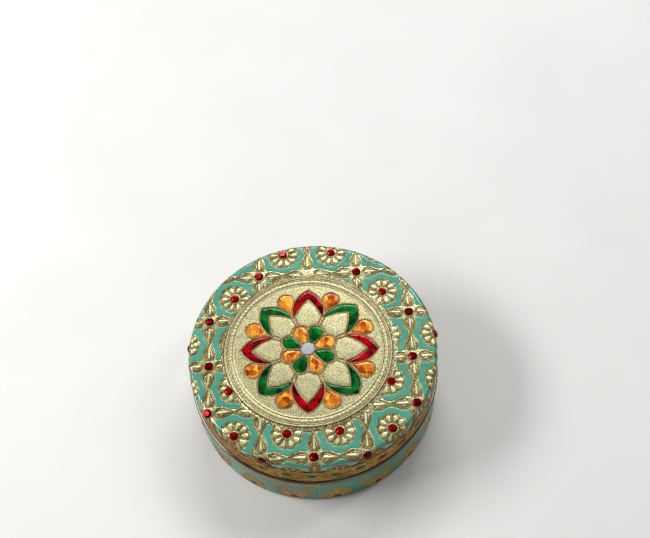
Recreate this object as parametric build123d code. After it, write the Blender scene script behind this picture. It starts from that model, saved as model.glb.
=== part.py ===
from build123d import *
import math
import os

# A round pressed steel box with a lift-off lid, dressed in embossed gilt sheet,
# poured enamel and set stones. Millimetres, +Z up, origin in the middle of the foot.

# Pressed steel container
steel = 0.5
wall_radius = 62.4
shoulder_height = 21.7
shoulder_width = 1.4
neck_height = 16.0
neck_curl_radius = 0.9
press_radius = 0.8
shoulder_radius = 0.4
foot_corner_radius = 1.2
recess_radius = 44.0
recess_depth = 0.8
recess_slope = 2.0

# Pressed steel lid
neck_clearance = 0.4
lid_height = 21.3
lid_edge_radius = 1.8
bead_radius = 1.05
bead_slit = 0.3
lid_seat_gap = 0.3

# Gilt sheet and what lies on it
sheet = 0.3
relief = 0.4
strip_relief = 0.3
enamel_depth = 0.3
glue_line = 0.05
pool_gap = 0.05
joint_gap = 0.3
strip_margin = 0.2
prism_reach = 6.0

# Lid lattice
lattice_pitch = 25.4
lattice_x = -1.08
lattice_y = -6.93
band_waist = 1.5
leaf_tip_length = 6.75
leaf_half_width = 3.0
cross_radius = 4.4
pool_width = 4.6
rosette_petals = 10
petal_bulge = 1.2
fold_drop = 7.1
pool_edge = 0.4
pool_to_plate = 2.5
least_pool_area = 4.0
stone_margin = 1.5
flower_stone_radius = 2.2
cross_stone_radius = 2.35
stone_height = 1.3
stone_girdle = 0.4
stone_facets = 12
stone_table = 0.55

# Lid rim strip
rim_dots = 32
rim_dot_length = 5.4
rim_dot_width = 3.1
rim_first_dot = -0.25
rim_run = 4
rim_run_start = 1
rim_colours = ["green", "red", "orange", "green", "red", "green", "red", "orange"]

# Medallion, stacked outwards from its middle
medallion_x = -2.15
medallion_y = -0.4
medallion_turn = -1.63
sectors = 8
centre_radius = 3.3
centre_height = 0.5
wire = 0.9
heart_length = 9.5
heart_tip_radius = 0.6
petal_length = 14.4
chevron_tip_width = 5.1
chevron_leg = 15.8
chevron_bulge = 2.7
chevron_foot_width = 0.3
chevron_foot_gap = 0.25
petal_tip_bulge = 1.2
drop_radius = 3.75
drop_length = 6.9
drop_tip_radius = 0.45
stipple_width = 4.3
braid_width = 3.4
braid_height = 0.45
edge_wire_radius = 0.35
plate_relief = 0.3

# Container side strip
side_motifs = 18
leaf_height = 12.8
dome_height = 11.8
leaf_spread = 8.6
leaf_foot = 5.0
leaf_belly = 1.2
dome_half_width = 8.2
dome_lobe_radius = 2.9
dome_lobes = 6
side_line_height = 0.6
side_enamel_depth = 0.2
joint_share = 0.4
side_stone_radius = 1.8
side_stone_height = 0.5
joint_azimuth = -90

# Radii that follow
neck_radius = wall_radius - shoulder_width
skirt_inner = neck_radius + neck_clearance
skirt_radius = skirt_inner + steel
bead_centre_radius = skirt_inner + bead_radius
fold_radius = skirt_radius + glue_line

# Heights that follow
neck_top = shoulder_height + neck_height
lid_top = shoulder_height + lid_height
bead_centre_z = shoulder_height + lid_seat_gap + bead_radius
sheet_top = lid_top + sheet
field_top = sheet_top + relief
plate_top = field_top + sheet
fold_bottom = lid_top - fold_drop
bead_top = bead_centre_z + bead_radius
rim_bottom = bead_top + strip_margin
rim_top = fold_bottom - strip_margin
side_bottom = foot_corner_radius + strip_margin
side_top = shoulder_height - shoulder_radius - strip_margin

# Lattice sizes that follow
half_pitch = lattice_pitch / 2
rosette_radius = half_pitch - band_waist / 2 - pool_width
field_radius = skirt_radius - lid_edge_radius
fold_bend = lid_edge_radius + glue_line + sheet
fold_reach = field_radius + fold_bend * math.pi / 2 + fold_drop - lid_edge_radius

# Medallion radii that follow
heart_start = centre_radius + wire
heart_end = heart_start + heart_length
petal_start = heart_end + wire
petal_tip = petal_start + petal_length
chevron_tip = petal_tip + chevron_tip_width
braid_inner = chevron_tip + stipple_width
braid_outer = braid_inner + braid_width
medallion_radius = braid_outer + 2 * edge_wire_radius
pools_inner = medallion_radius + pool_to_plate
sector = 360 / sectors


def save(solids, node):
    """Write one node, a solid or a group of separate solids."""
    shape = Compound(children=[s.solid() if len(s.solids()) == 1 else s for s in solids])
    export_step(shape, f"parts/{node}.step")


def turned(profile):
    """Turn a face drawn in X and Z once round the Z axis."""
    return revolve(Plane.XZ * profile, Axis.Z)


def drop_face(tip_radius, end_radius, reach):
    """Teardrop with its tip circle at the origin and its round end out along +X."""
    lean = math.asin((end_radius - tip_radius) / reach)
    s, c = math.sin(lean), math.cos(lean)
    tip_up = (-tip_radius * s, tip_radius * c)
    end_up = (reach - end_radius * s, end_radius * c)
    tip_low = (tip_up[0], -tip_up[1])
    end_low = (end_up[0], -end_up[1])
    edges = [
        Line(tip_up, end_up),
        ThreePointArc(end_up, (reach + end_radius, 0), end_low),
        Line(end_low, tip_low),
        ThreePointArc(tip_low, (-tip_radius, 0), tip_up),
    ]
    return make_face(edges)


def almond_face(length, width):
    """Pointed oval along X."""
    left, right = (-length / 2, 0), (length / 2, 0)
    return make_face([
        ThreePointArc(left, (0, width / 2), right),
        ThreePointArc(right, (0, -width / 2), left),
    ])


def cut_stone(radius):
    """Set stone: a round girdle under a cut crown with a flat table."""
    girdle = extrude(Circle(radius), stone_girdle)
    crown = loft([
        Plane.XY.offset(stone_girdle) * RegularPolygon(radius, stone_facets),
        Plane.XY.offset(stone_height) * RegularPolygon(stone_table * radius, stone_facets),
    ])
    return girdle + crown


def container_shell():
    """Foot, wall, shoulder and neck drawn as one pressed profile."""
    curl_start = neck_top - neck_curl_radius
    corners = [
        (0, recess_depth),
        (recess_radius, recess_depth),
        (recess_radius + recess_slope, 0),
        (wall_radius, 0),
        (wall_radius, shoulder_height),
        (neck_radius, shoulder_height),
        (neck_radius, curl_start),
    ]
    bends = [press_radius, press_radius, foot_corner_radius, shoulder_radius, press_radius]
    outside = FilletPolyline(*corners, radius=bends)
    curl = ThreePointArc(
        (neck_radius, curl_start),
        (neck_radius - neck_curl_radius, neck_top),
        (neck_radius - 2 * neck_curl_radius, curl_start),
    )
    path = Wire(outside.edges() + curl.edges())
    return turned(make_face(path.offset_2d(steel, side=Side.LEFT).edges()))


def lid_shell():
    """Flat top and skirt, its lower edge curled outwards into a hollow bead."""
    corners = [(0, lid_top), (skirt_radius, lid_top), (skirt_radius, bead_centre_z)]
    outside = FilletPolyline(*corners, radius=[lid_edge_radius])
    cap = make_face(Wire(outside.edges()).offset_2d(steel, side=Side.RIGHT).edges())
    bead = Pos(bead_centre_radius, bead_centre_z) * (Circle(bead_radius) - Circle(bead_radius - steel))
    slit = Pos(skirt_radius + bead_slit / 2, bead_top) * Rectangle(bead_slit, 2 * bead_radius)
    return turned(cap + (bead - slit))


def lattice_nodes(offset):
    """Places of a square lattice that reach the lid's field."""
    count = math.ceil(field_radius / lattice_pitch) + 1
    steps = [n * lattice_pitch + offset for n in range(-count, count + 1)]
    spots = [(lattice_x + x, lattice_y + y) for x in steps for y in steps]
    return [p for p in spots if math.hypot(*p) < fold_reach]


def lid_place(x, y):
    """Place on the lid's sheet for a point of its flat pattern, bent over the edge."""
    along = math.hypot(x, y)
    tilt = min(max((along - field_radius) / fold_bend, 0), math.pi / 2)
    radius = min(along, field_radius) + fold_bend * math.sin(tilt)
    drop = fold_bend * (1 - math.cos(tilt)) + max(along - field_radius - fold_bend * math.pi / 2, 0)
    cx, cy = x / along, y / along
    normal = (cx * math.sin(tilt), cy * math.sin(tilt), math.cos(tilt))
    return Plane(origin=(cx * radius, cy * radius, sheet_top - drop), x_dir=(-cy, cx, 0), z_dir=normal)


def rosette_face(grow):
    """Scalloped disc of round petals."""
    bulge_radius = (rosette_radius - petal_bulge) * math.sin(math.pi / rosette_petals) + petal_bulge / 2
    ring = rosette_radius - bulge_radius
    scallop = Circle(bulge_radius + grow)
    return Circle(ring + grow) + [loc * scallop for loc in PolarLocations(ring, rosette_petals)]


def cell_pool_face(grow):
    """Enamel of one lattice cell: the square less its bands, crossings and rosette."""
    cell = Rectangle(lattice_pitch, lattice_pitch)
    leaf = drop_face(band_waist / 2 + grow, leaf_half_width + grow, leaf_tip_length)
    corner = Pos(half_pitch, half_pitch) * Circle(cross_radius + grow)
    for quarter in range(4):
        turn = Rot(0, 0, 90 * quarter)
        band = [turn * Pos(half_pitch, 0) * Rot(0, 0, way) * leaf for way in (90, -90)]
        cell -= [turn * corner] + band
    return cell - rosette_face(grow)


def pool_faces(grow):
    """Enamel pools of all the cells between the medallion and the lid's edge."""
    field = Circle(field_radius - pool_edge - grow) - Pos(medallion_x, medallion_y) * Circle(pools_inner + grow)
    cell = cell_pool_face(grow)
    pools = []
    for x, y in lattice_nodes(half_pitch):
        pools += (field & (Pos(x, y) * cell)).faces()
    return [f for f in pools if f.area > least_pool_area]


def plate_distance(x, y):
    """Distance of a place from the medallion's middle."""
    return math.hypot(x - medallion_x, y - medallion_y)


def flower_spots():
    """Rosette middles; a stone that the medallion would cover in part is set beside it."""
    clear = medallion_radius + flower_stone_radius + pool_gap
    spots = []
    for x, y in stone_spots(half_pitch, medallion_radius - flower_stone_radius, flower_stone_radius):
        push = max(clear / plate_distance(x, y), 1)
        spots.append((medallion_x + (x - medallion_x) * push, medallion_y + (y - medallion_y) * push))
    return spots


def cross_spots():
    """Crossings whose stones lie clear of the medallion."""
    return stone_spots(0, medallion_radius + cross_stone_radius, cross_stone_radius)


def stone_spots(offset, inner, radius):
    """Lattice places beyond a distance from the medallion, and whole on the fold."""
    outer = fold_reach - radius - stone_margin
    return [p for p in lattice_nodes(offset) if plate_distance(*p) > inner and math.hypot(*p) < outer]


def lid_sheet():
    """Sheet over the top, folded down round the edge, with the pattern raised on it."""
    corners = [(0, lid_top), (fold_radius, lid_top), (fold_radius, fold_bottom)]
    inside = FilletPolyline(*corners, radius=[lid_edge_radius + glue_line])
    cover = turned(make_face(Wire(inside.edges()).offset_2d(sheet, side=Side.LEFT).edges()))
    field = extrude(Pos(0, 0, sheet_top) * Circle(field_radius), relief)
    field -= [extrude(Pos(0, 0, sheet_top) * f, relief) for f in pool_faces(0)]
    places = [(p, flower_stone_radius) for p in flower_spots()]
    places += [(p, cross_stone_radius) for p in cross_spots()]
    for spot, radius in places:
        field -= lid_place(*spot) * Pos(0, 0, -glue_line) * extrude(Circle(radius + pool_gap), stone_height)
    return cover + field.solids()


def lid_pools():
    """The poured enamel in the lattice's cells."""
    return [extrude(Pos(0, 0, sheet_top) * f, enamel_depth) for f in pool_faces(pool_gap)]


def sleeve(inner, outer, bottom, top):
    """Upright tube round the Z axis."""
    ring = Circle(outer) - Circle(inner)
    return extrude(Pos(0, 0, bottom) * ring, top - bottom)


def wall_prism(face, azimuth, z):
    """Push a face drawn flat through the side, X along the wall and Y up."""
    out = Vector(1, 0, 0).rotate(Axis.Z, azimuth)
    along = Vector(0, 1, 0).rotate(Axis.Z, azimuth)
    start = out * (neck_radius - prism_reach) + Vector(0, 0, z)
    return extrude(Plane(origin=start, x_dir=along, z_dir=out) * face, 3 * prism_reach)


def wall_slot(azimuth):
    """Slot through the side where the two ends of a strip meet."""
    return wall_prism(Rectangle(joint_gap, 2 * lid_top), azimuth, 0)


def rim_base():
    """Radius of the rim strip's flat sheet."""
    return skirt_radius + glue_line + sheet


def rim_dot(azimuth, grow, inner, outer):
    """One almond dot between two radii."""
    face = almond_face(rim_dot_length + 2 * grow, rim_dot_width + 2 * grow)
    return wall_prism(face, azimuth, (rim_bottom + rim_top) / 2) & sleeve(inner, outer, rim_bottom, rim_top)


def rim_azimuths():
    """Azimuths of the rim's dots, one of them just left of the front."""
    return [joint_azimuth + (n + rim_first_dot) * 360 / rim_dots for n in range(rim_dots)]


def rim_strip():
    """Strip round the lid's side, butted at the back, with seats for its dots."""
    top_radius = rim_base() + strip_relief
    strip = sleeve(fold_radius, top_radius, rim_bottom, rim_top)
    seats = [rim_dot(a, 0, rim_base(), top_radius) for a in rim_azimuths()]
    return strip - wall_slot(joint_azimuth + 180) - seats


def rim_dots_of(colour):
    """Dots of one colour, which runs on for a few dots before the next."""
    chosen = [a for n, a in enumerate(rim_azimuths())
              if rim_colours[(n + rim_run_start) // rim_run % len(rim_colours)] == colour]
    inner = rim_base() + glue_line
    return [rim_dot(a, -pool_gap, inner, inner + strip_relief) for a in chosen]


def two_leaf_face(grow):
    """Two broad leaves that part upwards from a common stem."""
    spread, top, notch = leaf_spread + grow, leaf_height + grow, leaf_height / 2 + grow
    foot = leaf_foot + grow
    leaf = make_face([
        Line((0, -grow), (foot, -grow)),
        SagittaArc((foot, -grow), (spread, top), -leaf_belly),
        SagittaArc((spread, top), (0, notch), -leaf_belly),
        Line((0, notch), (0, -grow)),
    ])
    return leaf + mirror(leaf, Plane.YZ)


def dome_face(grow):
    """Half rosette of round lobes that stands on its flat side."""
    ring_x, ring_y = dome_half_width - dome_lobe_radius, dome_height - dome_lobe_radius
    face = Ellipse(ring_x + grow, ring_y + grow)
    for n in range(dome_lobes):
        angle = math.pi * n / (dome_lobes - 1)
        face += Pos(ring_x * math.cos(angle), ring_y * math.sin(angle)) * Circle(dome_lobe_radius + grow)
    above = Pos(0, dome_height - grow) * Rectangle(3 * dome_half_width, 2 * dome_height)
    return face & above


def side_azimuths():
    """Azimuths of the side motifs: domes and leaves in turn, the joint between two."""
    step = 360 / side_motifs
    return [joint_azimuth + (n + joint_share) * step for n in range(side_motifs)]


def side_motif_prisms(grow):
    """All raised motifs of the side as prisms."""
    kinds = [dome_face(grow), two_leaf_face(grow)]
    return [wall_prism(kinds[n % 2], a, side_bottom) for n, a in enumerate(side_azimuths())]


def side_base():
    """Radius of the side strip's flat sheet."""
    return wall_radius + glue_line + sheet


def side_stone_prisms(grow):
    """Round prisms at the foot of each side motif."""
    z = side_bottom + side_stone_radius + strip_margin
    return [wall_prism(Circle(side_stone_radius + grow), a, z) for a in side_azimuths()]


def side_strip():
    """Sheet round the wall with its raised motifs and a raised line along its top."""
    base, top = side_base(), side_base() + strip_relief
    strip = sleeve(wall_radius + glue_line, base, side_bottom, side_top)
    line = sleeve(base, top, side_top - side_line_height, side_top)
    shell = sleeve(base, top, side_bottom, side_top - side_line_height)
    motifs = [p & shell for p in side_motif_prisms(0)]
    raised = line + motifs - side_stone_prisms(pool_gap)
    return strip + raised - wall_slot(joint_azimuth)


def side_enamel():
    """Enamel ground of the side, kept clear of the motifs and cut at the joint."""
    inner = side_base() + glue_line
    outer = inner + side_enamel_depth
    ground = sleeve(inner, outer, side_bottom, side_top - side_line_height - pool_gap)
    ground = ground - side_motif_prisms(pool_gap) - side_stone_prisms(pool_gap) - wall_slot(joint_azimuth)
    return ground.solids()


def side_stones():
    """Low round stones, one at the foot of each motif."""
    seat = side_base() + glue_line
    shell = sleeve(seat, seat + side_stone_height, 0, shoulder_height)
    return [p & shell for p in side_stone_prisms(0)]


def heart_face(grow):
    """Inner drop, its round end as wide as its sector allows."""
    half_sector = math.sin(math.pi / sectors)
    end_centre = (heart_end + wire) / (1 + half_sector)
    end_radius = end_centre * half_sector - wire
    tip_centre = heart_start + heart_tip_radius
    drop = drop_face(heart_tip_radius + grow, end_radius + grow, end_centre - tip_centre)
    return Pos(tip_centre, 0) * drop


def chevron_face(grow):
    """Pointed band that hugs the tip of a petal, drawn out to two thin legs."""
    foot_r = chevron_tip - chevron_leg
    foot = (foot_r, foot_r * math.tan(math.pi / sectors) - chevron_foot_gap)
    outer_foot = (foot[0] - grow, foot[1] + grow)
    inner_foot = (foot[0] - grow, foot[1] - chevron_foot_width - grow)
    tip, notch = (chevron_tip + grow, 0), (petal_tip - grow, 0)
    flip = [(x, -y) for x, y in (outer_foot, inner_foot)]
    return make_face([
        SagittaArc(outer_foot, tip, chevron_bulge),
        SagittaArc(tip, flip[0], chevron_bulge),
        Line(flip[0], flip[1]),
        SagittaArc(flip[1], notch, -petal_tip_bulge),
        SagittaArc(notch, inner_foot, -petal_tip_bulge),
        Line(inner_foot, outer_foot),
    ])


def outer_drop_face(grow):
    """Outer drop, its round end level with the chevrons' tips."""
    tip = chevron_tip - drop_radius - drop_length
    return Pos(tip, 0) * drop_face(drop_tip_radius + grow, drop_radius + grow, drop_length)


def around_plate(face, start, step):
    """Copies of a face round the medallion, placed on the lid."""
    seat = Pos(medallion_x, medallion_y, plate_top) * Rot(0, 0, medallion_turn)
    count = round(360 / step)
    return [seat * Rot(0, 0, start + step * n) * face for n in range(count)]


def plate_cells(grow):
    """Every enamel cell of the medallion by its node."""
    heart, chevron, outer = heart_face(grow), chevron_face(grow), outer_drop_face(grow)
    return {
        "heart_enamel_green": around_plate(heart, sector * 1.5, 2 * sector),
        "heart_enamel_orange": around_plate(heart, sector / 2, 2 * sector),
        "petal_enamel_red": around_plate(chevron, 0, 2 * sector),
        "petal_enamel_green": around_plate(chevron, sector, 2 * sector),
        "drop_enamel_orange": around_plate(outer, sector / 2, sector),
    }


def medallion_plate():
    """Round plate with pockets for its enamel, a braid and two edge wires."""
    middle = Pos(medallion_x, medallion_y, field_top)
    plate = middle * extrude(Circle(medallion_radius), sheet)
    raised = middle * Pos(0, 0, sheet) * extrude(Circle(medallion_radius), plate_relief)
    cells = [extrude(f, plate_relief) for faces in plate_cells(0).values() for f in faces]
    seat = middle * Pos(0, 0, sheet) * extrude(Circle(centre_radius + pool_gap), plate_relief)
    braid_middle = (braid_inner + braid_outer) / 2
    braid = make_face([
        Line((braid_inner, 0), (braid_outer, 0)),
        ThreePointArc((braid_outer, 0), (braid_middle, braid_height), (braid_inner, 0)),
    ])
    wires = [Pos(r, 0) * Circle(edge_wire_radius)
             for r in (braid_inner - edge_wire_radius, braid_outer + edge_wire_radius)]
    rings = middle * Pos(0, 0, sheet + plate_relief) * turned(Sketch() + [braid] + wires)
    return plate + (raised - cells - seat) + rings


def centre_stone():
    """Flat pale disc with a soft edge."""
    disc = extrude(Circle(centre_radius), plate_relief + centre_height)
    disc = fillet(disc.edges().sort_by(Axis.Z)[-1], centre_height / 2)
    return Pos(medallion_x, medallion_y, plate_top) * disc


def build():
    """Make every node of the box."""
    os.makedirs("parts", exist_ok=True)
    save([container_shell()], "container_shell")
    save([side_strip()], "side_strip")
    save(side_enamel(), "side_enamel")
    save(side_stones(), "side_stones")
    save([lid_shell()], "lid_shell")
    save([lid_sheet()], "lid_sheet")
    save(lid_pools(), "lid_enamel")
    save([lid_place(*p) * cut_stone(flower_stone_radius) for p in flower_spots()], "flower_stones")
    save([lid_place(*p) * cut_stone(cross_stone_radius) for p in cross_spots()], "cross_stones")
    save([rim_strip()], "rim_strip")
    for colour in ("green", "red", "orange"):
        save(rim_dots_of(colour), f"rim_enamel_{colour}")
    save([medallion_plate()], "medallion_plate")
    for node, faces in plate_cells(-pool_gap).items():
        save([extrude(f, enamel_depth) for f in faces], node)
    save([centre_stone()], "centre_stone")


build()
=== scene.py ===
# %% [markdown]
# A round enamelled trinket box, dressed over its CAD model.
# The CAD gives every size and place. This script gives the look: pressed gilt sheet with
# raised wires, poured enamel, set stones and polished steel.
# Lengths are written in millimetres and turned into Blender's metres where a mesh is made.

import bmesh
import bpy
import math
import numpy as np
from mathutils import Matrix, Vector


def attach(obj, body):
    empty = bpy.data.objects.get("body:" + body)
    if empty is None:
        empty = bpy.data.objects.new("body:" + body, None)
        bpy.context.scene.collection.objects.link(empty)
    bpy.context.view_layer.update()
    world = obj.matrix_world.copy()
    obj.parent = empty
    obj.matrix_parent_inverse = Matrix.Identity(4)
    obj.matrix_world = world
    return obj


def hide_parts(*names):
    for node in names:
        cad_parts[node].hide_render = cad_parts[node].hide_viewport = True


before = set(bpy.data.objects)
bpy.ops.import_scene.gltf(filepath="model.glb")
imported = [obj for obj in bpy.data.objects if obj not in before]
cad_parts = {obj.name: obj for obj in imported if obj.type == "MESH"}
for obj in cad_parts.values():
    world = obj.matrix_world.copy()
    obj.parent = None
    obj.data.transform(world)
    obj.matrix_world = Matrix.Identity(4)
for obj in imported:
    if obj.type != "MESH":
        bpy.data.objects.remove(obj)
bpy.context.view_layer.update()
mm = 0.001

# %% [markdown]
# The camera stands where the photographer stood: above the lid, in front, a little tilted.
# Its place was worked out from the round lid and the even spacing of the pattern.

# %% Camera
camera_place = Vector((14.70, -252.97, 521.46)) * mm
camera_aim = Vector((8.14, 46.57, 43.70)) * mm
camera_roll = math.radians(4.107)
lens_mm = 59.68


def in_scene(name, data):
    """New object in the scene."""
    made = bpy.data.objects.new(name, data)
    bpy.context.scene.collection.objects.link(made)
    return made


def looking(spot, aim):
    """Placement at a spot, turned towards an aim."""
    turn = (Vector(aim) - Vector(spot)).to_track_quat("-Z", "Y").to_matrix().to_4x4()
    return Matrix.Translation(spot) @ turn


camera = in_scene("camera", bpy.data.cameras.new("camera"))
camera.matrix_world = looking(camera_place, camera_aim) @ Matrix.Rotation(-camera_roll, 4, "Z")
camera.data.sensor_width = 36
camera.data.lens = lens_mm
camera.data.clip_start = 0.01
bpy.context.scene.camera = camera
print("camera right:", [round(v, 4) for v in camera.matrix_world.col[0][:3]])

# %% [markdown]
# Materials and shapes are both built from nodes, so short ways to write them come first.
# A `Net` is a node tree with helpers, and a `Value` is an output of one of its nodes. Values
# take part in plain sums: `2 * a + b` adds its own arithmetic nodes to the tree.
# Colours are written as seen on a screen, from 0 to 255.

# %% Node helpers
white, black = (255, 255, 255), (0, 0, 0)


def linear(red, green, blue):
    """Turn a colour as seen on a screen into the linear values Blender wants."""
    values = [c / 255 for c in (red, green, blue)]
    return [c / 12.92 if c <= 0.04045 else ((c + 0.055) / 1.055) ** 2.4 for c in values] + [1]


def sum_step(step, swapped=False):
    """Operator that adds one arithmetic node."""
    def run(one, two):
        return one.net.calc(step, *((two, one) if swapped else (one, two)))
    return run


class Value:
    """Output of a node that takes part in sums."""

    def __init__(self, net, socket):
        self.net, self.socket = net, socket

    __add__, __radd__ = sum_step("ADD"), sum_step("ADD", True)
    __sub__, __rsub__ = sum_step("SUBTRACT"), sum_step("SUBTRACT", True)
    __mul__, __rmul__ = sum_step("MULTIPLY"), sum_step("MULTIPLY", True)
    __truediv__, __rtruediv__ = sum_step("DIVIDE"), sum_step("DIVIDE", True)


class Net:
    """Node tree with short ways to add what the finishes and shapes need."""

    def __init__(self, tree):
        self.tree = tree

    def fill(self, node, sockets):
        """Fill input sockets with numbers, colours or values."""
        for key, value in sockets.items():
            socket = node.inputs[key]
            if isinstance(value, Value):
                self.tree.links.new(value.socket, socket)
            else:
                socket.default_value = linear(*value) if socket.type == "RGBA" else value

    def node(self, kind, sockets, **options):
        """Add a node with its options and inputs."""
        made = self.tree.nodes.new(kind)
        for name, value in options.items():
            setattr(made, name, value)
        self.fill(made, sockets)
        return made

    def add(self, kind, sockets=None, output=0, **options):
        """Add a node and return one output of it."""
        return Value(self, self.node(kind, sockets or {}, **options).outputs[output])

    def calc(self, step, *values, clamp=False):
        """One arithmetic step."""
        return self.add("ShaderNodeMath", dict(enumerate(values)), operation=step, use_clamp=clamp)

    def part(self, value, whole):
        """How much of the whole is reached, from 0 to 1."""
        return self.calc("DIVIDE", value, whole, clamp=True)

    def length(self, x, y):
        """Length of the line from the origin to x, y."""
        return self.calc("SQRT", x * x + y * y)

    def vector(self, step, one, two):
        """One step with vectors. SCALE takes a number second."""
        key = "Scale" if step == "SCALE" else 1
        return self.add("ShaderNodeVectorMath", {0: one, key: two}, operation=step)

    def split(self, vector):
        """The three numbers of a vector."""
        return [Value(self, socket) for socket in self.node("ShaderNodeSeparateXYZ", {0: vector}).outputs]

    def join(self, x=0.0, y=0.0, z=0.0):
        """Vector of three numbers."""
        return self.add("ShaderNodeCombineXYZ", {0: x, 1: y, 2: z})

    def spot(self):
        """Place of the point that is worked on."""
        if self.tree.type == "SHADER":
            return self.add("ShaderNodeTexCoord", output="Object")
        return self.add("GeometryNodeInputPosition")

    def mark(self, name, kind="FLOAT"):
        """Attribute of the mesh."""
        if self.tree.type == "SHADER":
            return self.add("ShaderNodeAttribute", output="Fac", attribute_name=name)
        return self.add("GeometryNodeInputNamedAttribute", {"Name": name}, data_type=kind)

    def noise(self, size, detail=2.0, spot=None, output="Fac"):
        """Cloudy pattern whose blobs are about size millimetres across."""
        sockets = {"Vector": spot or self.spot(), "Scale": 1 / (size * mm), "Detail": detail}
        return self.add("ShaderNodeTexNoise", sockets, output)

    def cells(self, size, output="Distance", chance=1.0, feature="F1"):
        """Pattern of cells about size millimetres across, in rows when chance is small."""
        sockets = {"Vector": self.spot(), "Scale": 1 / (size * mm), "Randomness": chance}
        return self.add("ShaderNodeTexVoronoi", sockets, output, feature=feature)

    def ramp(self, factor, *stops):
        """Colour ramp from pairs of a place and a colour."""
        made = self.node("ShaderNodeValToRGB", {"Fac": factor})
        points = made.color_ramp.elements
        while len(points) < len(stops):
            points.new(0.5)
        for point, (at, colour) in zip(points, stops):
            point.position = at
            point.color = linear(*colour)
        return Value(self, made.outputs["Color"])

    def bump(self, height, depth, under=None):
        """Small relief, depth in millimetres."""
        sockets = {"Height": height, "Distance": depth * mm, "Strength": 1.0}
        return self.add("ShaderNodeBump", {**sockets, "Normal": under} if under else sockets)

    def mixed(self, factor, one, two, how="MIX"):
        """Blend two colours."""
        return self.add("ShaderNodeMix", {0: factor, 6: one, 7: two}, 2, data_type="RGBA", blend_type=how)


def material(name):
    """New material, its net and its main shader."""
    made = bpy.data.materials.new(name)
    made.use_nodes = True
    return made, Net(made.node_tree), made.node_tree.nodes["Principled BSDF"]


# %% [markdown]
# The room is plain: a pale floor, a pale even sky and three large soft lamps. Metal shows
# what stands round it, so the lamps are what makes the wires sparkle and the enamel shine.

# %% Floor, sky and lamps
half_floor = 2.0
sky_strength = 0.22
lamps = [
    ("left window", (-0.80, 0.02, 0.68), (0.62, 0.24), 8.2),
    ("back window", (0.15, 1.00, 1.05), (0.90, 0.26), 10.5),
    ("right window", (0.70, 0.35, 0.95), (0.14, 0.42), 2.0),
]
lamp_aim = (0, 0, 0.03)

floor_mesh = bpy.data.meshes.new("floor")
corners = [(x * half_floor, y * half_floor, 0) for x, y in ((-1, -1), (1, -1), (1, 1), (-1, 1))]
floor_mesh.from_pydata(corners, [], [(0, 1, 2, 3)])
floor = in_scene("floor", floor_mesh)
paper, net, shader = material("floor paper")
tone = net.ramp(net.noise(60.0, 3.0), (0.3, (225, 224, 222)), (0.7, (229, 228, 226)))
net.fill(shader, {"Base Color": tone, "Roughness": 0.75})
floor_mesh.materials.append(paper)

world = bpy.data.worlds.new("studio")
bpy.context.scene.world = world
world.use_nodes = True
Net(world.node_tree).fill(world.node_tree.nodes["Background"], {"Color": white, "Strength": sky_strength})

for name, spot, size, watts in lamps:
    light = bpy.data.lights.new(name, "AREA")
    light.shape = "RECTANGLE"
    light.size, light.size_y = size
    light.energy = watts
    in_scene(name, light).matrix_world = looking(spot, lamp_aim)

bpy.context.scene.view_settings.view_transform = "Standard"
print("lamps:", [name for name, *_ in lamps])

# %% [markdown]
# The sizes below are the CAD's own, so every piece of this script lands on the steel it
# belongs to. `lattice` is the square repeat of the pressed pattern, one inch on the sheet.

# %% Sizes from the CAD
wall_radius, shoulder_z = 62.4, 21.7
neck_radius, neck_z = 61.0, 37.7
foot_inner, foot_outer, foot_rise = 44, 46, 0.8
skirt_inner, skirt_radius = 61.4, 61.9
lid_z, sheet_z = 43.0, 43.3
bead_radius, bead_z = 1.05, 23.05
steel = 0.5
flat_radius, fold_bend, fold_reach = 60.1, 2.15, 68.78
lattice = 25.4
half_cell = lattice / 2
lattice_middle = np.array([-1.08, -6.93])
rim_base, rim_bottom_z, rim_top_z = 62.25, 24.3, 35.7
side_base, side_bottom_z, side_top_z = 62.75, 1.4, 21.1
plate_middle = np.array([-2.15, -0.4])
plate_turn, plate_radius, plate_z = -1.63, 42.5, 44.0

# %% [markdown]
# Pressed metal is easiest to think of as drawn lines with heights between them. These
# helpers draw teardrops and arcs as rows of points, and measure how far every point of a
# grid lies from a drawn line. The distance then says where the metal is raised or sunk.

# %% Drawing helpers
def polar(radius, angle):
    """Points from a radius and an angle in radians."""
    return np.stack([radius * np.cos(angle), radius * np.sin(angle)], axis=-1)


def even(line, step):
    """The same closed line with its points spaced evenly."""
    loop = np.vstack([line, line[:1]])
    lengths = np.concatenate([[0], np.cumsum(np.hypot(*np.diff(loop, axis=0).T))])
    count = max(int(round(lengths[-1] / step)), 3)
    stops = np.linspace(0, lengths[-1], count + 1)[:-1]
    return np.stack([np.interp(stops, lengths, loop[:, k]) for k in (0, 1)], axis=1)


def drop_line(tip_radius, end_radius, reach, step=0.5):
    """Outline of a teardrop with its tip at the origin and its round end out along X."""
    side = math.pi / 2 + math.asin((end_radius - tip_radius) / reach)
    round_end = polar(end_radius, np.linspace(-side, side, 40)) + (reach, 0)
    round_tip = polar(tip_radius, np.linspace(side, 2 * math.pi - side, 12))
    return even(np.vstack([round_end, round_tip]), step)


def bow(start, end, bulge, count=16):
    """Shallow arc from start to end that bulges to its left."""
    start, end = np.asarray(start, float), np.asarray(end, float)
    chord = end - start
    left = np.array([-chord[1], chord[0]]) / np.hypot(*chord)
    share = np.linspace(0, 1, count)[:, None]
    return start + share * chord + left * bulge * 4 * share * (1 - share)


def moved(line, x=0.0, turn=0.0):
    """Turn a line by degrees about the origin, then shift it along X."""
    angle = math.radians(turn)
    c, s = math.cos(angle), math.sin(angle)
    return line @ np.array([[c, s], [-s, c]]) + (x, 0)


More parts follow.
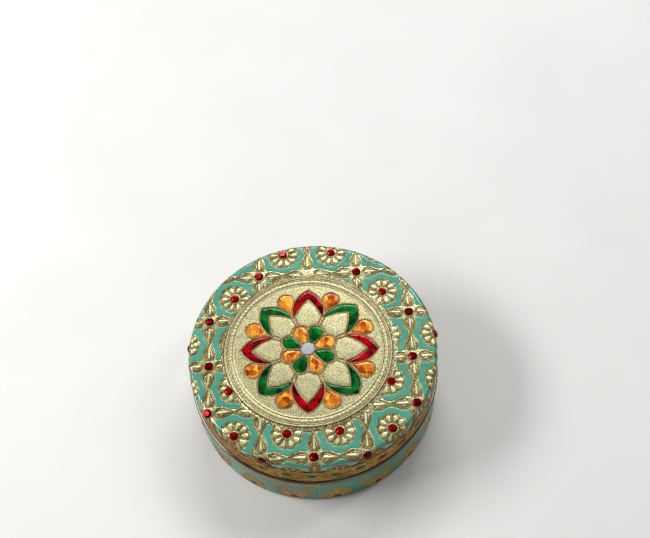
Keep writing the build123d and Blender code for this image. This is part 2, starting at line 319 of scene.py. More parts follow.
def mirrored(line, signs):
    """The same line flipped over an axis and run backwards, so that it can be joined on."""
    return (line * signs)[::-1]


def distance(points, line):
    """Distance of each point from a closed line, less than zero inside it."""
    near = np.full(len(points), 1e9)
    inside = np.zeros(len(points), bool)
    for a, b in zip(line, np.roll(line, -1, axis=0)):
        edge = b - a
        share = np.clip((points - a) @ edge / max(edge @ edge, 1e-12), 0, 1)
        gap = points - a - share[:, None] * edge
        near = np.minimum(near, np.hypot(gap[:, 0], gap[:, 1]))
        if a[1] != b[1]:
            crosses = (a[1] > points[:, 1]) != (b[1] > points[:, 1])
            inside ^= crosses & (points[:, 0] < a[0] + edge[0] / edge[1] * (points[:, 1] - a[1]))
    return np.where(inside, -near, near)


def step_up(value, start, end):
    """0 before start, 1 after end and a soft rise between."""
    share = np.clip((value - start) / (end - start), 0, 1)
    return share * share * (3 - 2 * share)


def hump(value, middle, width):
    """1 at the middle, and near 0 two widths away from it."""
    return np.exp(-((value - middle) / width) ** 2)


# %% [markdown]
# A mesh is points and faces. `grid` lays a flat net of squares, `fan` lays one round an
# axis, and `make_mesh` turns rows of numbers into a Blender mesh, dropping the faces that
# aren't wanted. The groove value goes along as an attribute, so a material can darken the
# metal beside a wire: on the gilt that darkening is painted shade mixed with dirt.

# %% Mesh helpers
def grid(x_range, y_range, pitch):
    """Flat net of squares: its points and its faces."""
    columns, rows = (max(int(round((high - low) / pitch)), 1) for low, high in (x_range, y_range))
    x = np.linspace(*x_range, columns + 1)
    y = np.linspace(*y_range, rows + 1)
    points = np.stack(np.meshgrid(x, y), axis=-1).reshape(-1, 2)
    corner = (np.arange(rows)[:, None] * (columns + 1) + np.arange(columns)).ravel()
    faces = np.stack([corner, corner + 1, corner + columns + 2, corner + columns + 1], axis=1)
    return points, faces


def fan(radii, angles, closed):
    """Flat net round the origin: radius and angle of each point, and the faces."""
    r, a = (values.ravel() for values in np.meshgrid(radii, angles, indexing="ij"))
    corner = np.arange((len(radii) - 1) * len(angles)).reshape(-1, len(angles))
    beside = np.roll(corner, -1, axis=1)
    if not closed:
        corner, beside = corner[:, :-1], beside[:, :-1]
    faces = np.stack([corner, corner + len(angles), beside + len(angles), beside], axis=-1)
    return r, a, faces.reshape(-1, 4)


def make_mesh(name, points, heights, faces, keep=None, **marks):
    """Mesh from flat points in mm, their heights, the points to keep, and marks as attributes."""
    if keep is not None:
        faces = faces[keep[faces].any(axis=1)]
    used = np.unique(faces)
    number = np.full(len(points), -1)
    number[used] = np.arange(len(used))
    spots = np.column_stack([points, heights])[used] * mm
    mesh = bpy.data.meshes.new(name)
    mesh.from_pydata(spots.tolist(), [], number[faces].tolist())
    for label, values in marks.items():
        mark = mesh.attributes.new(label, "FLOAT", "POINT")
        mark.data.foreach_set("value", values[used].astype(np.float32))
    return mesh


def line_mesh(name, lines):
    """Wires as plain edges: each line is (points, height, wire radius, closed)."""
    spots, edges, thick = [], [], []
    for line, height, radius, closed in lines:
        first, count = len(spots), len(line)
        spots += [(x * mm, y * mm, height * mm) for x, y in line]
        edges += [(first + k, first + k + 1) for k in range(count - 1)]
        if closed:
            edges.append((first + count - 1, first))
        thick += [radius * mm] * count
    mesh = bpy.data.meshes.new(name)
    mesh.from_pydata(spots, edges, [])
    mesh.attributes.new("thick", "FLOAT", "POINT").data.foreach_set("value", thick)
    return mesh


def spots_mesh(name, spots):
    """Places to set a piece: each is (position in mm, turn about X, Y and Z in degrees)."""
    mesh = bpy.data.meshes.new(name)
    mesh.from_pydata([[v * mm for v in spot] for spot, _ in spots], [], [])
    turns = [math.radians(v) for _, turn in spots for v in turn]
    mesh.attributes.new("turn", "FLOAT_VECTOR", "POINT").data.foreach_set("vector", turns)
    return mesh


# %% [markdown]
# Six node trees do the repeating work. `wires` turns drawn lines into round wire. `set in
# place` puts one piece on many spots. `pour` gives enamel its thickness. `bend over the edge`
# folds a flat pattern down round the lid, as the maker does by hand, and `wrap` rolls a flat
# strip round the wall. `draw out` makes the flower as uneven as it was drawn.
# Geometry Nodes suit this, because each rule is written once.

# %% Node trees for the shapes
def new_tree(name, build, **inputs):
    """Geometry tree that gives what build makes a finish. Each named input is a number or a kind."""
    tree = bpy.data.node_groups.new(name, "GeometryNodeTree")
    for way in ("INPUT", "OUTPUT"):
        tree.interface.new_socket("Geometry", in_out=way, socket_type="NodeSocketGeometry")
    for label, value in {**inputs, "Finish": "Material"}.items():
        kind = value if isinstance(value, str) else type(value).__name__.title()
        socket = tree.interface.new_socket(label, in_out="INPUT", socket_type="NodeSocket" + kind)
        if value != kind:
            socket.default_value = value
    net = Net(tree)
    *given, finish, _ = (Value(net, socket) for socket in tree.nodes.new("NodeGroupInput").outputs)
    real = net.add("GeometryNodeRealizeInstances", {"Geometry": build(net, *given)})
    coated = net.add("GeometryNodeSetMaterial", {"Geometry": real, "Material": finish})
    net.fill(tree.nodes.new("NodeGroupOutput"), {0: coated})
    return tree


def round_wires(net, geometry, drawn, sides):
    """Round wire along the edges of another object."""
    lines = net.add("GeometryNodeObjectInfo", {"Object": drawn}, "Geometry")
    path = net.add("GeometryNodeMeshToCurve", {"Mesh": lines})
    circle = net.add("GeometryNodeCurvePrimitiveCircle", {"Resolution": sides, "Radius": 1.0})
    sockets = {"Curve": path, "Profile Curve": circle, "Scale": net.mark("thick")}
    return net.add("GeometryNodeCurveToMesh", sockets)


def set_pieces(net, geometry, piece, unevenness, seed, weld):
    """One piece on every spot, each turned a little by chance, then welded along shared edges."""
    whole = net.add("GeometryNodeObjectInfo", {"Object": piece, "As Instance": True}, "Geometry")
    limits = {"Min": (-1, -1, -1), "Max": (1, 1, 1), "Seed": seed}
    spread = net.add("FunctionNodeRandomValue", limits, data_type="FLOAT_VECTOR")
    chance = net.vector("SCALE", spread, unevenness)
    turn = net.vector("ADD", net.mark("turn", "FLOAT_VECTOR"), chance)
    angle = net.add("FunctionNodeEulerToRotation", {0: turn})
    placed = net.add("GeometryNodeInstanceOnPoints",
                     {"Points": geometry, "Instance": whole, "Rotation": angle})
    real = net.add("GeometryNodeRealizeInstances", {"Geometry": placed})
    return net.add("GeometryNodeMergeByDistance", {"Geometry": real, "Distance": weld})


def put(net, geometry, spot, how="Position"):
    """Move every point to its spot, or by an offset."""
    return net.add("GeometryNodeSetPosition", {"Geometry": geometry, how: spot})


def cut_off(net, geometry, chosen):
    """Take away the chosen part."""
    return net.add("GeometryNodeDeleteGeometry", {"Geometry": geometry, "Selection": chosen})


pour_x, pour_y = (float(v) * mm for v in plate_middle + (0.6, -0.2))
plate_x, plate_y = (float(v) * mm for v in plate_middle)


def pour_in(net, geometry, clear, depth, rounding, waver):
    """Give flat enamel its height from its distance to the nearest border, and round its ends."""
    x, y, _ = net.split(net.spot())
    inset = net.mark("inset")
    outside = net.length(x - pour_x, y - pour_y) - clear
    short = [net.calc("MAXIMUM", rounding - gap, 0.0) for gap in (inset, outside)]
    near = net.calc("MINIMUM", net.calc("MINIMUM", inset, outside), rounding - net.length(*short))
    near = near + (net.noise(3.5, 2.0, net.join(x, y)) - 0.5) * waver
    full = 1.0 - net.calc("EXPONENT", near / (-0.16 * mm))
    height = net.calc("MAXIMUM", full, 0.0) * depth + net.calc("MINIMUM", near, 0.0) * 1.2
    raised = put(net, geometry, net.join(x, y, height))
    return cut_off(net, raised, net.calc("LESS_THAN", near, -0.45 * mm))


def bend_over(net, geometry, full_reach, fading, tucking, covered, wander, pleats):
    """Trim a flat pattern, let it wander a little as handwork does, and bend it over the lid's edge."""
    flat_edge, bend = flat_radius * mm, fold_bend * mm
    x, y, z = net.split(net.spot())
    flat = net.join(x, y)
    outside = net.calc("GREATER_THAN", net.length(x, y), full_reach + 0.5 * mm)
    under = net.calc("LESS_THAN", net.length(x - plate_x, y - plate_y), covered)
    trimmed = cut_off(net, geometry, net.calc("MAXIMUM", outside, under))
    shift = net.vector("SUBTRACT", net.noise(9, 1.0, flat, "Color"), (0.5, 0.5, 0.5))
    x, y, _ = net.split(net.vector("ADD", flat, net.vector("SCALE", shift, wander)))
    reach = net.length(x, y)
    held = net.calc("MINIMUM", reach, full_reach)
    past, left = held - flat_edge, full_reach - reach
    tilt = net.calc("MINIMUM", net.calc("MAXIMUM", past / bend, 0.0), math.pi / 2)
    height = z * net.part(left, fading + 1e-6)
    cosine = net.calc("COSINE", tilt)
    turn = net.calc("ARCTAN2", y, x)
    folds = net.join(net.calc("COSINE", turn) * 22.0, net.calc("SINE", turn) * 22.0, held * 150.0)
    crimp = net.noise(1 / mm, 2.0, folds) - 0.5
    pleat = crimp * net.part(past - bend, 3 * mm) * pleats
    tuck = (1.0 - net.part(left, 0.6 * mm)) * tucking
    radius = net.calc("MINIMUM", held, flat_edge) + (bend + height) * net.calc("SINE", tilt) + pleat - tuck
    hang = net.calc("MAXIMUM", past - bend * math.pi / 2, 0.0)
    level = sheet_z * mm - bend * (1.0 - cosine) - hang + height * cosine
    share = radius / net.calc("MAXIMUM", reach, 1e-6)
    return put(net, trimmed, net.join(x * share, y * share, level))


def wrap_round(net, geometry, base, start):
    """Roll a flat strip round the box: X goes round, Y goes up, Z goes outwards."""
    x, y, z = net.split(net.spot())
    angle = start + x / base
    out = base + z
    rolled = net.join(out * net.calc("COSINE", angle), out * net.calc("SINE", angle), y)
    return put(net, geometry, rolled)


def draw_out(net, geometry, pull, towards):
    """Draw the flower out to one side, as a hand did, and leave its middle and the border in place."""
    x, y, _ = net.split(net.spot())
    x, y = x - plate_x, y - plate_y
    reach = net.length(x, y)
    side = net.calc("COSINE", net.calc("ARCTAN2", y, x) - towards)
    rise, fall = net.part(reach - 8 * mm, 18 * mm), net.part(37.2 * mm - reach, 2.6 * mm)
    shift = rise * fall * (side + 0.3) * pull / net.calc("MAXIMUM", reach, 1 * mm)
    return put(net, geometry, net.join(x * shift, y * shift), "Offset")


wires = new_tree("wires", round_wires, Lines="Object", Sides=6)
setting = new_tree("set in place", set_pieces, Piece="Object", Unevenness=0.0, Seed=1, Weld=0.0)
pouring = new_tree("pour", pour_in, Clear=0.0, Depth=0.0, Round=0.0, Waver=0.0)
folding = new_tree("bend over the edge", bend_over, Reach=fold_reach * mm, Fade=0.0, Tuck=0.0, Covered=0.0,
                   Wander=0.0, Pleats=0.0)
wrapping = new_tree("wrap", wrap_round, Radius=0.06, Start=math.radians(-90))
pulling = new_tree("draw out", draw_out, Pull=0.85 * mm, Towards=math.radians(-15))
print("trees:", [tree.name for tree in bpy.data.node_groups])

# %% [markdown]
# `shape` runs trees on a mesh one after the other and keeps the result as a plain mesh, so
# the finished piece has no modifiers left. `place` makes that mesh a piece of the box.

# %% Running the trees
def shape(mesh, finish, *steps, smooth=True):
    """Run (tree, inputs) steps on a mesh and return the evaluated result as a new mesh."""
    carriers = [in_scene(mesh.name + "_plan", mesh)]
    for tree, inputs in steps:
        modifier = carriers[0].modifiers.new(tree.name, "NODES")
        modifier.node_group = tree
        for item in tree.interface.items_tree:
            value = {**inputs, "Finish": finish}.get(item.name)
            if isinstance(value, bpy.types.Mesh):
                value = in_scene(value.name + "_plan", value)
                carriers.append(value)
            if value is not None:
                modifier[item.identifier] = value
    graph = bpy.context.evaluated_depsgraph_get()
    made = bpy.data.meshes.new_from_object(carriers[0].evaluated_get(graph))
    made.name = mesh.name
    for carrier in carriers:
        bpy.data.objects.remove(carrier)
    made.polygons.foreach_set("use_smooth", [smooth] * len(made.polygons))
    return made


def wired(name, lines, sides, finish):
    """Drawn lines as round wire."""
    inputs = {"Lines": line_mesh(name + "_lines", lines), "Sides": sides}
    return shape(bpy.data.meshes.new(name), finish, (wires, inputs))


def set_out(name, finish, piece, spots, *steps, weld=0.0, unevenness=0.0, seed=1, smooth=True):
    """Set a piece on its spots, then run more steps. A spot without a turn gets none."""
    spots = [spot if len(spot) == 2 else (spot, (0, 0, 0)) for spot in spots]
    inputs = {"Piece": piece, "Unevenness": unevenness, "Seed": seed, "Weld": weld * mm}
    return shape(spots_mesh(name, spots), finish, (setting, inputs), *steps, smooth=smooth)


def place(name, mesh, body, nodes):
    """Make a mesh a finished piece that rides on a body and stands for CAD nodes."""
    piece = in_scene(name, mesh)
    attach(piece, body)
    if nodes:
        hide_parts(*nodes)
    print(name, "triangles:", sum(len(p.vertices) - 2 for p in mesh.polygons))


# %% [markdown]
# Gilt sheet is thin brass-coloured foil. It shines softly on its raised lines and keeps dark
# polish and dirt in the grooves beside them; the same darkening is also painted shade, the
# shade those grooves and the punched hollows would have. The groove attribute of the mesh
# gives that dark line, two clouds of noise vary the tone, and a fine bump breaks up the reflections.

# %% Gilt finishes
# Where the painted shade on the fold starts, and how far down it deepens.
fold_top, fold_depth = 42.9 * mm, 1.6 * mm


def gilt(name, bright, plain, dark, grain=0.55, grain_depth=0.03, roughness=0.34, crease=0.10,
         fold_shade=None, stipple=0.0, metal=0.85, worn=0.45, chance=1.0, right=None):
    """Pressed foil: bright on the ridges, painted shade and dirt in the grooves, with a grain of its own."""
    made, net, shader = material(name)
    x, _, z = net.split(net.spot())
    foil = net.ramp(net.noise(7.0, 4.0), (0.32, plain), (0.68, bright))
    rubbed = net.ramp(net.noise(1.4, 3.0), (0.38, (176, 160, 112)), (0.62, white))
    foil = net.mixed(worn, foil, rubbed, "MULTIPLY")
    # Painted shade: the gilt turns browner below the lid's top, on the bent-down fold.
    if fold_shade:
        foil = net.mixed(net.part(fold_top - z, fold_depth) * 0.9, foil, fold_shade)
    if right:
        foil = net.mixed(net.part(x + 10 * mm, 20 * mm), foil, right)
    dents = net.cells(grain, chance=chance, feature="SMOOTH_F1")
    hollows = net.calc("SUBTRACT", dents, 0.30, clamp=True) * (2.2 * stipple)
    # Painted shade mixed with dirt: darker beside the wires and in the punched hollows.
    shade_and_grime = net.calc("ADD", net.mark("groove") * (net.noise(3.0, 3.0) + 0.55), hollows, clamp=True)
    small = net.bump(1.0 - dents, grain_depth)
    net.fill(shader, {"Base Color": net.mixed(shade_and_grime, foil, dark), "Metallic": metal,
                      "Roughness": net.noise(2.0) * 0.22 + (roughness - 0.11),
                      "Normal": net.bump(net.noise(1.1, 4.0), crease, small)})
    return made


gilt_sheet = gilt("gilt sheet", (235, 240, 194), (214, 218, 160), (98, 68, 22), fold_shade=(162, 118, 36),
                  grain=0.8, grain_depth=0.05, roughness=0.25, stipple=0.15, metal=0.46, worn=0.24)
gilt_line = gilt("gilt outline", (192, 180, 116), (150, 134, 72), (86, 58, 18), fold_shade=(140, 100, 40),
                 grain_depth=0.01, roughness=0.30, crease=0.03, metal=0.75, worn=0.3)
gilt_wire = gilt("gilt wire", (190, 166, 112), (152, 124, 74), (100, 62, 26),
                 grain_depth=0.01, roughness=0.32, crease=0.03, metal=0.65, worn=0.3)
gilt_ground = gilt("gilt punched ground", (204, 202, 156), (191, 188, 142), (92, 58, 22), grain=0.64,
                   grain_depth=0.09, roughness=0.38, crease=0.03, stipple=1.0, metal=0.65, worn=0.16,
                   chance=0.6)
gilt_apron = gilt("gilt apron", (207, 208, 162), (184, 184, 134), (88, 58, 20),
                  grain=0.9, grain_depth=0.08, stipple=0.3, metal=0.7, worn=0.3)
# The rim and side finishes are darker, browner copies of the gilt: painted shade on the upright sides of lid
# and box.
shaded_gilt_rim = gilt("gilt rim", (206, 162, 66), (158, 112, 36), (48, 12, 8))
shaded_gilt_side = gilt("gilt side", (196, 160, 100), (172, 132, 74), (70, 42, 20), right=(184, 156, 62),
                 roughness=0.42)

# %% [markdown]
# The ground colour is opaque enamel paint, poured thick. It is smooth and glossy, a little
# cloudy in tone, with a few pale bubbles and pin holes. A clear coat gives the wet shine.

# %% Poured ground enamel
def ground_enamel(name, light, deep, speck, shine):
    """Opaque glossy enamel with bubbles."""
    made, net, shader = material(name)
    tone = net.ramp(net.noise(16.0, 3.0), (0.3, deep), (0.7, light))
    bubbles = net.ramp(net.cells(1.9), (0.05, white), (0.11, black))
    marks = bubbles * net.ramp(net.noise(2.6, 1.0), (0.60, black), (0.64, white))
    waves = net.noise(2.8, 1.0) + marks * 0.25
    net.fill(shader, {"Base Color": net.mixed(marks, tone, speck), "Roughness": 0.28,
                      "Specular IOR Level": 0.2, "Normal": net.bump(waves, 0.26),
                      "Coat Weight": shine, "Coat Roughness": 0.03})
    return made


teal = ground_enamel("teal enamel", (84, 156, 132), (70, 140, 117), (170, 215, 200), 0.9)
teal_side = ground_enamel("teal side enamel", (78, 142, 112), (60, 118, 90), (140, 185, 165), 0.25)

# %% [markdown]
# The flower's cells are clear coloured enamel over crumpled foil. The foil glints through it
# in facets and streaks, while the surface stays smooth. So the base is partly metallic with
# a crumpled bump, and a clear coat lies over it on the smooth shape. The rim is darker,
# since the enamel is deeper there; the groove attribute marks the rim.

# %% Foil-backed enamel
def foil_enamel(name, bright, middle, deep, crumple=4.4, streak=1.0, gloss=0.55):
    """Clear enamel over crumpled foil."""
    made, net, shader = material(name)
    shade = net.add("ShaderNodeSeparateColor", {0: net.cells(crumple, "Color")})
    drift = shade * 0.46 + net.noise(5.0, 3.0) * 0.58
    body = net.ramp(drift, (0.32, deep), (0.50, middle), (0.70, bright))
    veins = net.add("ShaderNodeTexWave", {"Vector": net.spot(), "Scale": 200.0, "Distortion": 9.0,
                                          "Detail": 2.0}, "Fac")
    lines = net.ramp(veins, (0.03, deep), (0.16, white))
    body = net.mixed(0.45 * streak, body, lines, "MULTIPLY")
    crush = net.cells(crumple, feature="SMOOTH_F1") * 0.8 + net.noise(0.9, 3.0) * 0.5
    net.fill(shader, {"Base Color": net.mixed(net.mark("groove") * 0.55, body, deep), "Metallic": 0.35,
                      "Roughness": 0.36, "Normal": net.bump(crush, 0.30), "Specular IOR Level": 0.0,
                      "Coat Weight": gloss, "Coat IOR": 1.38, "Coat Roughness": 0.03})
    return made


red_foil = foil_enamel("red enamel", (172, 4, 14), (124, 2, 10), (54, 0, 6))
green_foil = foil_enamel("green enamel", (10, 124, 36), (3, 94, 25), (0, 50, 16))
dark_green_foil = foil_enamel("dark green enamel", (14, 108, 42), (5, 76, 28), (0, 38, 16))
orange_foil = foil_enamel("orange enamel", (238, 172, 66), (210, 126, 42), (146, 60, 14), crumple=3.4,
                          gloss=0.6)
dot_tones = {
    "green": ((18, 120, 50), (10, 92, 40), (6, 66, 30)),
    "red": ((130, 16, 18), (92, 8, 12), (60, 4, 8)),
    "orange": ((176, 104, 30), (140, 74, 18), (96, 40, 10)),
}
dot_foils = {colour: foil_enamel(f"rim {colour} enamel", *tones, crumple=1.4, streak=0.4, gloss=0.2)
             for colour, tones in dot_tones.items()}

# %% [markdown]
# The stones are cut glass with foil behind. Each facet mirrors another part of the room, so
# a deep red with a metallic base and a hard clear coat looks right even from close by.

# %% Stones and the pale disc
def stone_finish(name, bright, deep, gloss=0.3, low_shade=0.75):
    """Foil-backed red glass, with painted shade low on the fold and round each stone's foot."""
    made, net, shader = material(name)
    cloud = net.ramp(net.noise(1.3), (0.34, deep), (0.66, bright))
    _, _, height = net.split(net.spot())
    # Painted shade: darker below the medallion's height, on the fold and round the lower edge of each stone.
    on_fold = net.part(plate_z * mm - height, 1.0 * mm)
    net.fill(shader, {"Base Color": net.mixed(on_fold * low_shade, cloud, (66, 14, 14)), "Metallic": 0.55,
                      "Roughness": 0.14, "Normal": net.bump(net.noise(0.7, 1.0), 0.02),
                      "Specular IOR Level": 0.0, "Coat Weight": gloss, "Coat IOR": 1.4,
                      "Coat Roughness": 0.02})
    return made


red_glass = stone_finish("red stone", (186, 8, 20), (92, 2, 10))
dark_glass = stone_finish("dark red stone", (150, 7, 18), (66, 2, 10), 0.08)
side_glass = stone_finish("side stone", (120, 26, 26), (70, 12, 14), low_shade=0.0)

pale_glass, net, shader = material("pale disc")
tone = net.ramp(net.noise(1.6, 4.0), (0.3, (156, 167, 175)), (0.7, (172, 182, 189)))
net.fill(shader, {"Base Color": tone, "Roughness": 0.38, "Coat Weight": 0.4, "Coat Roughness": 0.15,
                  "Normal": net.bump(net.noise(0.6), 0.02)})

# %% [markdown]
# The steel was pressed and then polished on a wheel. Fine rings run round the axis, so the
# bump follows the distance from the middle, and the tone is a touch uneven.

# %% Steel finishes
def polished_steel(name, low, high, roughness, ring_depth, shine=0.0):
    """Polished steel with faint rings round the axis and soft smears."""
    made, net, shader = material(name)
    x, y, z = net.split(net.spot())
    rings = net.noise(0.35, 3.0, net.join(net.length(x, y), 0.0, z))
    net.fill(shader, {"Base Color": net.ramp(net.noise(22.0, 4.0), (0.3, low), (0.7, high)), "Metallic": 1.0,
                      "Roughness": net.noise(5.0, 4.0) * 0.14 + (roughness - 0.07),
                      "Normal": net.bump(rings, ring_depth), "Coat Weight": shine, "Coat Roughness": 0.03})
    return made


steel_box = polished_steel("container steel", (188, 190, 192), (206, 208, 208), 0.24, 0.010)
steel_lid = polished_steel("lid steel", (160, 161, 160), (184, 184, 182), 0.22, 0.010)
# The bead is the lid's own steel, curled; its darker tone is painted shade, a dark reflection on the curl.
shaded_steel_bead = polished_steel("bead steel", (68, 66, 62), (104, 102, 96), 0.13, 0.006, shine=0.8)
print("materials:", len(bpy.data.materials))

# %% [markdown]
# Box and lid are each one sheet of steel pressed into a cup. A bent sheet is a line with
# thickness, so `rounded` rounds the corners of a drawn profile, `bent_sheet` gives it its
# thickness, and `turned` carries it once round the axis. The lid's lower edge is curled into
# a round bead.

# %% Steel shells
def unit(line):
    """The same direction with length 1."""
    return line / np.hypot(*line)


def rounded(corners, radii, steps=7):
    """Row of points through the corners, each inner corner rounded."""
    corners = [np.array(p, float) for p in corners]
    row = corners[:1]
    for before, corner, after, radius in zip(corners, corners[1:], corners[2:], radii):
        back, on = unit(before - corner), unit(after - corner)
        half_angle = math.acos(float(np.clip(back @ on, -1, 1))) / 2
        middle = corner + unit(back + on) * radius / math.sin(half_angle)
        first, last = (corner + way * radius / math.tan(half_angle) for way in (back, on))
        start, end = (math.atan2(*(p - middle)[::-1]) for p in (first, last))
        sweep = (end - start + math.pi) % (2 * math.pi) - math.pi
        row += [middle + polar(radius, start + sweep * k / steps) for k in range(steps + 1)]
    return row + corners[-1:]


def bent_sheet(row, thickness):
    """Closed profile: the row and the same row offset to its left."""
    row = np.array(row)
    along = np.gradient(row, axis=0)
    left = np.column_stack([-along[:, 1], along[:, 0]]) / np.hypot(*along.T)[:, None]
    return np.vstack([row, (row + left * thickness)[::-1]])


def closed_up(mesh, finish):
    """Merge doubled points, so that poles and seams close, and turn every face outwards."""
    work = bmesh.new()
    work.from_mesh(mesh)
    bmesh.ops.remove_doubles(work, verts=work.verts, dist=0.002 * mm)
    bmesh.ops.dissolve_degenerate(work, edges=work.edges, dist=0.001 * mm)
    bmesh.ops.recalc_face_normals(work, faces=work.faces)
    work.to_mesh(mesh)
    work.free()
    mesh.polygons.foreach_set("use_smooth", [True] * len(mesh.polygons))
    mesh.materials.append(finish)
    return mesh


def turned(name, profile, finish, segments=240, closed=True):
    """Carry a profile of (radius, height) points once round the axis."""
    angles = np.linspace(0, 2 * math.pi, segments, endpoint=False)
    spots = [(r * math.cos(a) * mm, r * math.sin(a) * mm, z * mm) for a in angles for r, z in profile]
    near = np.arange(len(spots)).reshape(segments, -1)
    far = np.roll(near, -1, axis=0)
    faces = np.stack([near, far, np.roll(far, -1, axis=1), np.roll(near, -1, axis=1)], axis=-1)
    if not closed:
        faces = faces[:, :-1]
    mesh = bpy.data.meshes.new(name)
    mesh.from_pydata(spots, [], faces.reshape(-1, 4).tolist())
    return closed_up(mesh, finish)


def arc_row(centre, radius, start, end, steps):
    """Points on an arc, angles in degrees."""
    return list(polar(radius, np.radians(np.linspace(start, end, steps))) + centre)


def straight_row(start, end, count):
    """Evenly spaced points on a straight line."""
    return list(np.linspace(start, end, count))


lip, cap_bend = 0.9, 1.8
bends = [0.8, 0.8, 1.2, 0.7, 0.8]
cup = rounded([(0, foot_rise), (foot_inner, foot_rise), (foot_outer, 0), (wall_radius, 0),
               (wall_radius, shoulder_z), (neck_radius, shoulder_z), (neck_radius, neck_z - lip)], bends)
cup = cup[:1] + straight_row((2, foot_rise), (42, foot_rise), 21) + cup[1:]
cup += arc_row((neck_radius - lip, neck_z - lip), lip, 10, 180, 10)
cap = rounded([(0, lid_z), (skirt_radius, lid_z), (skirt_radius, bead_z)], [cap_bend])
cap = cap[:1] + straight_row((2, lid_z), (56, lid_z), 19) + cap[1:-1]
cap += straight_row((skirt_radius, 40), (skirt_radius, 24.2), 9)
curl = arc_row((skirt_inner + bead_radius, bead_z), bead_radius, 180, 500, 40)
for name, row, thickness, finish, body, nodes in (
        ("container_steel", cup, steel, steel_box, "container", ["container_shell"]),
        ("lid_steel", cap, -steel, steel_lid, "lid", ["lid_shell"]),
        ("lid_bead", curl, steel, shaded_steel_bead, "lid", [])):
    place(name, turned(name, bent_sheet(row, thickness), finish), body, nodes)

# %% [markdown]
# The lid's pattern is a square lattice. Each cell holds a rosette with a stone, and the
# bands between cells are pairs of leaves with crossed tips. One cell is modelled as a
# flat tile: pads are raised on a net of squares, and the outlines are laid on as wire.
# The tile is symmetric, so each point is folded into one corner before measuring.

# %% One cell of the lattice
tile_pitch, pour_pitch = 0.34, 0.36
waist, belly, corner_radius = 1.3, 3.3, 4.4
petals, petal_ring, petal_end, petal_tip = 10, 5.75, 1.66, 0.4
petal_start, pad_start = 2.9, 3.5
rosette_ring, rosette_bulge = 5.2, 2.7
stone_collar = 2.5
leaf = drop_line(0.15, 2.9, 6.5, 0.4)
inner_leaf = moved(drop_line(0.12, 2.05, 5.5, 0.4), x=1.3)
petal = moved(drop_line(petal_tip, petal_end, petal_ring - petal_start, 0.34), x=petal_start)
inner_petal = moved(drop_line(0.35, petal_end - 0.55, petal_ring - pad_start, 0.2), x=pad_start)


def band_width(along):
    """Half width of the gold band at a distance from its waist."""
    return waist + (belly - waist) * step_up(along, 0.3, 6.0)


def to_leaf(a, b, line):
    """Distance from a leaf's outline on either of the two bands of a corner."""
    return np.minimum(distance(np.column_stack([b, half_cell - a]), line),
                      distance(np.column_stack([a, half_cell - b]), line))


def cell_parts(points):
    """Distances that shape a cell: from stones, petals' local place and the enamel's edge."""
    a, b = np.abs(points).T
    from_node, from_middle = np.hypot(half_cell - a, half_cell - b), np.hypot(a, b)
    sector = 2 * math.pi / petals
    around = (np.arctan2(points[:, 1], points[:, 0]) + sector / 2) % sector - sector / 2
    local = polar(from_middle, around)
    scallop = np.hypot(local[:, 0] - rosette_ring, local[:, 1]) - rosette_bulge
    rosette = np.minimum(scallop, from_middle - rosette_ring)
    bands = np.minimum(half_cell - a - band_width(b), half_cell - b - band_width(a))
    enamel = np.minimum.reduce([bands, from_node - corner_radius, rosette])
    return a, b, from_node, from_middle, local, enamel


span = (-half_cell, half_cell)
tile_points, tile_faces = grid(span, span, tile_pitch)
a, b, from_node, from_middle, local, enamel = cell_parts(tile_points)
leaves, inner_leaves = to_leaf(a, b, leaf), to_leaf(a, b, inner_leaf)
loops, inner_loops = distance(local, petal), distance(local, inner_petal)
gold = 1 - step_up(enamel, -0.15, 0.1)
along, across = np.minimum(a, b), half_cell - np.maximum(a, b)
ribs = np.cos(across / np.maximum(0.2 + 0.30 * along, 0.3) * math.pi * 2.5)
pads = 0.22 * step_up(-inner_leaves, 0.0, 0.6) * (1 + 0.5 * ribs)
petal_pads = 0.20 * step_up(-inner_loops, -0.1, 0.35)
seats = 0.18 * (1 - step_up(np.minimum(from_node, from_middle), 2.5, 3.0))
tile_height = gold * (0.08 + pads + petal_pads + seats)
wire_lines = (leaves, inner_leaves, loops, from_middle - stone_collar)
near_wire = np.minimum.reduce([np.abs(gap) for gap in wire_lines])
valleys = np.clip(-ribs, 0, 1) * step_up(-inner_leaves, 0.1, 0.4)
low = 0.30 * (1 - step_up(-np.minimum(inner_leaves, inner_loops), 0.0, 0.5))
# Painted shade and dirt: beside the wires, in the rib valleys and on the low sheet round the pads.
tile_groove = np.maximum.reduce([hump(near_wire, 0.32, 0.25), valleys, low]) * gold
tile_mesh = make_mesh("cell_pads", tile_points, tile_height, tile_faces, groove=tile_groove)
print("cell points:", len(tile_points))

# %% Wires of the cell
node_collar = half_cell + polar(2.75, np.radians(np.linspace(180 + 8, 270 - 8, 10)))
scallop = polar(rosette_bulge - 0.15, np.radians(np.linspace(-52, 52, 12))) + (rosette_ring, 0)
scallop = scallop[np.abs(np.arctan2(scallop[:, 1], scallop[:, 0])) < math.pi / petals + 0.02]

tile_lines = []
for turn in range(0, 360, 90):
    for line, height, thick in ((leaf, 0.20, 0.21), (inner_leaf, 0.14, 0.14)):
        for way in (1, -1):
            edge_leaf = line[:, ::-1] * (1, way) + (half_cell, 0)
            inner = edge_leaf[edge_leaf[:, 0] <= half_cell + 1e-6]
            order = np.argsort(inner[:, 1] * way)
            tile_lines.append((moved(inner[order], turn=turn), height, thick, False))
    tile_lines.append((moved(node_collar, turn=turn), 0.14, 0.21, False))
for n in range(petals):
    tile_lines.append((moved(petal, turn=360 / petals * n), 0.16, 0.18, True))
    tile_lines.append((moved(scallop, turn=360 / petals * n), 0.20, 0.22, False))
wire_tile = wired("cell_wires", tile_lines, 5, gilt_line)
print("cell wire faces:", len(wire_tile.polygons))

